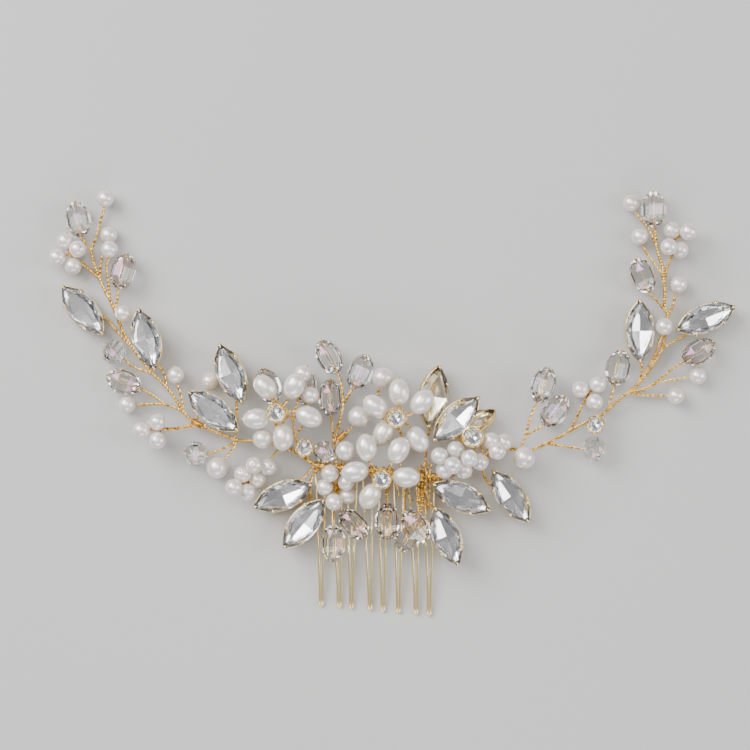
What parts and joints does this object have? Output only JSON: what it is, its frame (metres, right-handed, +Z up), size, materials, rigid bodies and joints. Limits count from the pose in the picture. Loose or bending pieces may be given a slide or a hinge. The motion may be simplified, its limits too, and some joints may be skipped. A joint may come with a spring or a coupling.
{
  "type": "decorative hair comb",
  "caption": "Bridal hair comb: a wire comb carrying a bendable spray of pearls, glass beads and claw-set crystals on twisted gold wire.",
  "frame": {"origin": "centre of the bounding box's footprint, at the lowest point (the prong tips), with the comb lying on its back", "axes": "+X along the spray to the viewer's right, +Y away from the prongs (the prongs point to -Y), +Z up, out of the decorated side"},
  "size_m": [0.1999, 0.1244, 0.0193],
  "materials": {
    "pearl": "pearlescent ivory",
    "petal_pearl": "pearlescent warm ivory",
    "oval_glass": "clear faceted glass",
    "round_glass": "clear glass",
    "navette_crystal": "foil-backed faceted crystal",
    "rhinestone_crystal": "foil-backed faceted crystal",
    "setting_gold": "polished gold plate",
    "cup_gold": "polished gold plate",
    "comb_gold": "polished pale gold plate",
    "binding_gold": "polished gold wire",
    "bead_wire_gold": "polished gold wire",
    "stem_gold": "polished gold wire, twisted"
  },
  "bodies": {
    "comb": {"comb_wire": "comb_gold", "comb_rail": "comb_gold", "rail_binding": "binding_gold", "centre_stems": "stem_gold", "centre_wraps": "binding_gold", "centre_bead_wires": "bead_wire_gold", "centre_pearls": "pearl", "centre_glass_beads": "round_glass", "flower_1_petals": "petal_pearl", "flower_2_petals": "petal_pearl", "flower_3_petals": "petal_pearl", "centre_rhinestones": "rhinestone_crystal", "centre_claw_cups": "cup_gold", "cluster_c_pearls": "pearl", "cluster_d_pearls": "pearl", "cluster_e_pearls": "pearl", "centre_navette_stones": "navette_crystal", "centre_navette_settings": "setting_gold"},
    "left_vine": {"left_stems": "stem_gold", "left_wraps": "binding_gold", "left_bead_wires": "bead_wire_gold", "left_pearls": "pearl", "cluster_b_pearls": "pearl", "left_round_beads": "round_glass", "left_navette_stones": "navette_crystal", "left_navette_settings": "setting_gold"},
    "left_tip": {"left_tip_stems": "stem_gold", "left_tip_bead_wires": "bead_wire_gold", "left_tip_pearls": "pearl", "cluster_a_pearls": "pearl"},
    "right_vine": {"right_stems": "stem_gold", "right_bead_wires": "bead_wire_gold", "right_pearls": "pearl", "cluster_f_pearls": "pearl", "right_round_bead": "round_glass", "right_rhinestone": "rhinestone_crystal", "right_claw_cup": "cup_gold", "right_navette_stones": "navette_crystal", "right_navette_settings": "setting_gold"},
    "right_tip": {"right_tip_stems": "stem_gold", "right_tip_bead_wires": "bead_wire_gold", "right_tip_pearls": "pearl", "cluster_g_pearls": "pearl"},
    "glass_bead_1": {"glass_oval_1": "oval_glass"},
    "glass_bead_2": {"glass_oval_2": "oval_glass"},
    "glass_bead_3": {"glass_oval_3": "oval_glass"},
    "glass_bead_4": {"glass_oval_4": "oval_glass"},
    "glass_bead_5": {"glass_oval_5": "oval_glass"},
    "glass_bead_6": {"glass_oval_6": "oval_glass"},
    "glass_bead_7": {"glass_oval_7": "oval_glass"},
    "glass_bead_8": {"glass_oval_8": "oval_glass"},
    "glass_bead_9": {"glass_oval_9": "oval_glass"},
    "glass_bead_10": {"glass_oval_10": "oval_glass"},
    "glass_bead_11": {"glass_oval_11": "oval_glass"},
    "glass_bead_12": {"glass_oval_12": "oval_glass"},
    "glass_bead_13": {"glass_oval_13": "oval_glass"},
    "glass_bead_14": {"glass_oval_14": "oval_glass"},
    "glass_bead_15": {"glass_oval_15": "oval_glass"},
    "glass_bead_16": {"glass_oval_16": "oval_glass"}
  },
  "joints": [
    {"name": "left_bend", "type": "hinge", "parent": "comb", "child": "left_vine", "pos_m": [-0.044, -0.0105, 0.006], "axis": [0, 1, 0], "range_deg": [-28, 28]},
    {"name": "left_tip_bend", "type": "hinge", "parent": "left_vine", "child": "left_tip", "pos_m": [-0.0819, 0.0293, 0.0036], "axis": [0.9023, 0.4311, 0], "range_deg": [-28, 28]},
    {"name": "right_bend", "type": "hinge", "parent": "comb", "child": "right_vine", "pos_m": [0.0346, -0.0129, 0.0063], "axis": [0, -1, 0], "range_deg": [-28, 28]},
    {"name": "right_tip_bend", "type": "hinge", "parent": "right_vine", "child": "right_tip", "pos_m": [0.07915, 0.02435, 0.0036], "axis": [1, 0, 0], "range_deg": [-28, 28]},
    {"name": "glass_bead_1_turn", "type": "hinge", "parent": "left_tip", "child": "glass_bead_1", "pos_m": [-0.0916, 0.0536, 0.0042], "axis": [-0.1908, 0.9816, 0], "continuous": true},
    {"name": "glass_bead_2_turn", "type": "hinge", "parent": "left_vine", "child": "glass_bead_2", "pos_m": [-0.0785, 0.0385, 0.0041], "axis": [0.2756, 0.9613, 0], "continuous": true},
    {"name": "glass_bead_3_turn", "type": "hinge", "parent": "left_vine", "child": "glass_bead_3", "pos_m": [-0.0783, 0.0065, 0.0039], "axis": [-0.9272, 0.3746, 0], "continuous": true},
    {"name": "glass_bead_4_turn", "type": "hinge", "parent": "comb", "child": "glass_bead_4", "pos_m": [-0.0188, 0.0137, 0.0062], "axis": [-0.4848, 0.8746, 0], "continuous": true},
    {"name": "glass_bead_5_turn", "type": "hinge", "parent": "comb", "child": "glass_bead_5", "pos_m": [-0.0184, 0.0019, 0.0058], "axis": [-0.0349, 0.9994, 0], "continuous": true},
    {"name": "glass_bead_6_turn", "type": "hinge", "parent": "comb", "child": "glass_bead_6", "pos_m": [-0.0098, 0.0094, 0.0066], "axis": [0.4067, 0.9135, 0], "continuous": true},
    {"name": "glass_bead_7_turn", "type": "hinge", "parent": "comb", "child": "glass_bead_7", "pos_m": [-0.0176, -0.04, 0.0076], "axis": [0, -1, 0], "continuous": true},
    {"name": "glass_bead_8_turn", "type": "hinge", "parent": "comb", "child": "glass_bead_8", "pos_m": [-0.0116, -0.0345, 0.0076], "axis": [0.682, -0.7314, 0], "continuous": true},
    {"name": "glass_bead_9_turn", "type": "hinge", "parent": "comb", "child": "glass_bead_9", "pos_m": [-0.002, -0.0337, 0.0076], "axis": [0, -1, 0], "continuous": true},
    {"name": "glass_bead_10_turn", "type": "hinge", "parent": "comb", "child": "glass_bead_10", "pos_m": [0.0062, -0.0348, 0.012], "axis": [0.5736, -0.8192, 0], "continuous": true},
    {"name": "glass_bead_11_turn", "type": "hinge", "parent": "right_vine", "child": "glass_bead_11", "pos_m": [0.0431, 0.0056, 0.0064], "axis": [0.3256, 0.9455, 0], "continuous": true},
    {"name": "glass_bead_12_turn", "type": "hinge", "parent": "right_vine", "child": "glass_bead_12", "pos_m": [0.0466, -0.0019, 0.0039], "axis": [0.6018, 0.7986, 0], "continuous": true},
    {"name": "glass_bead_13_turn", "type": "hinge", "parent": "right_vine", "child": "glass_bead_13", "pos_m": [0.065, 0.0105, 0.0042], "axis": [0.1908, 0.9816, 0], "continuous": true},
    {"name": "glass_bead_14_turn", "type": "hinge", "parent": "right_vine", "child": "glass_bead_14", "pos_m": [0.0884, 0.0152, 0.004], "axis": [0.8572, 0.515, 0], "continuous": true},
    {"name": "glass_bead_15_turn", "type": "hinge", "parent": "right_tip", "child": "glass_bead_15", "pos_m": [0.0753, 0.0565, 0.0042], "axis": [-0.0349, 0.9994, 0], "continuous": true},
    {"name": "glass_bead_16_turn", "type": "hinge", "parent": "right_tip", "child": "glass_bead_16", "pos_m": [0.0721, 0.0374, 0.004], "axis": [-0.3746, 0.9272, 0], "continuous": true}
  ]
}
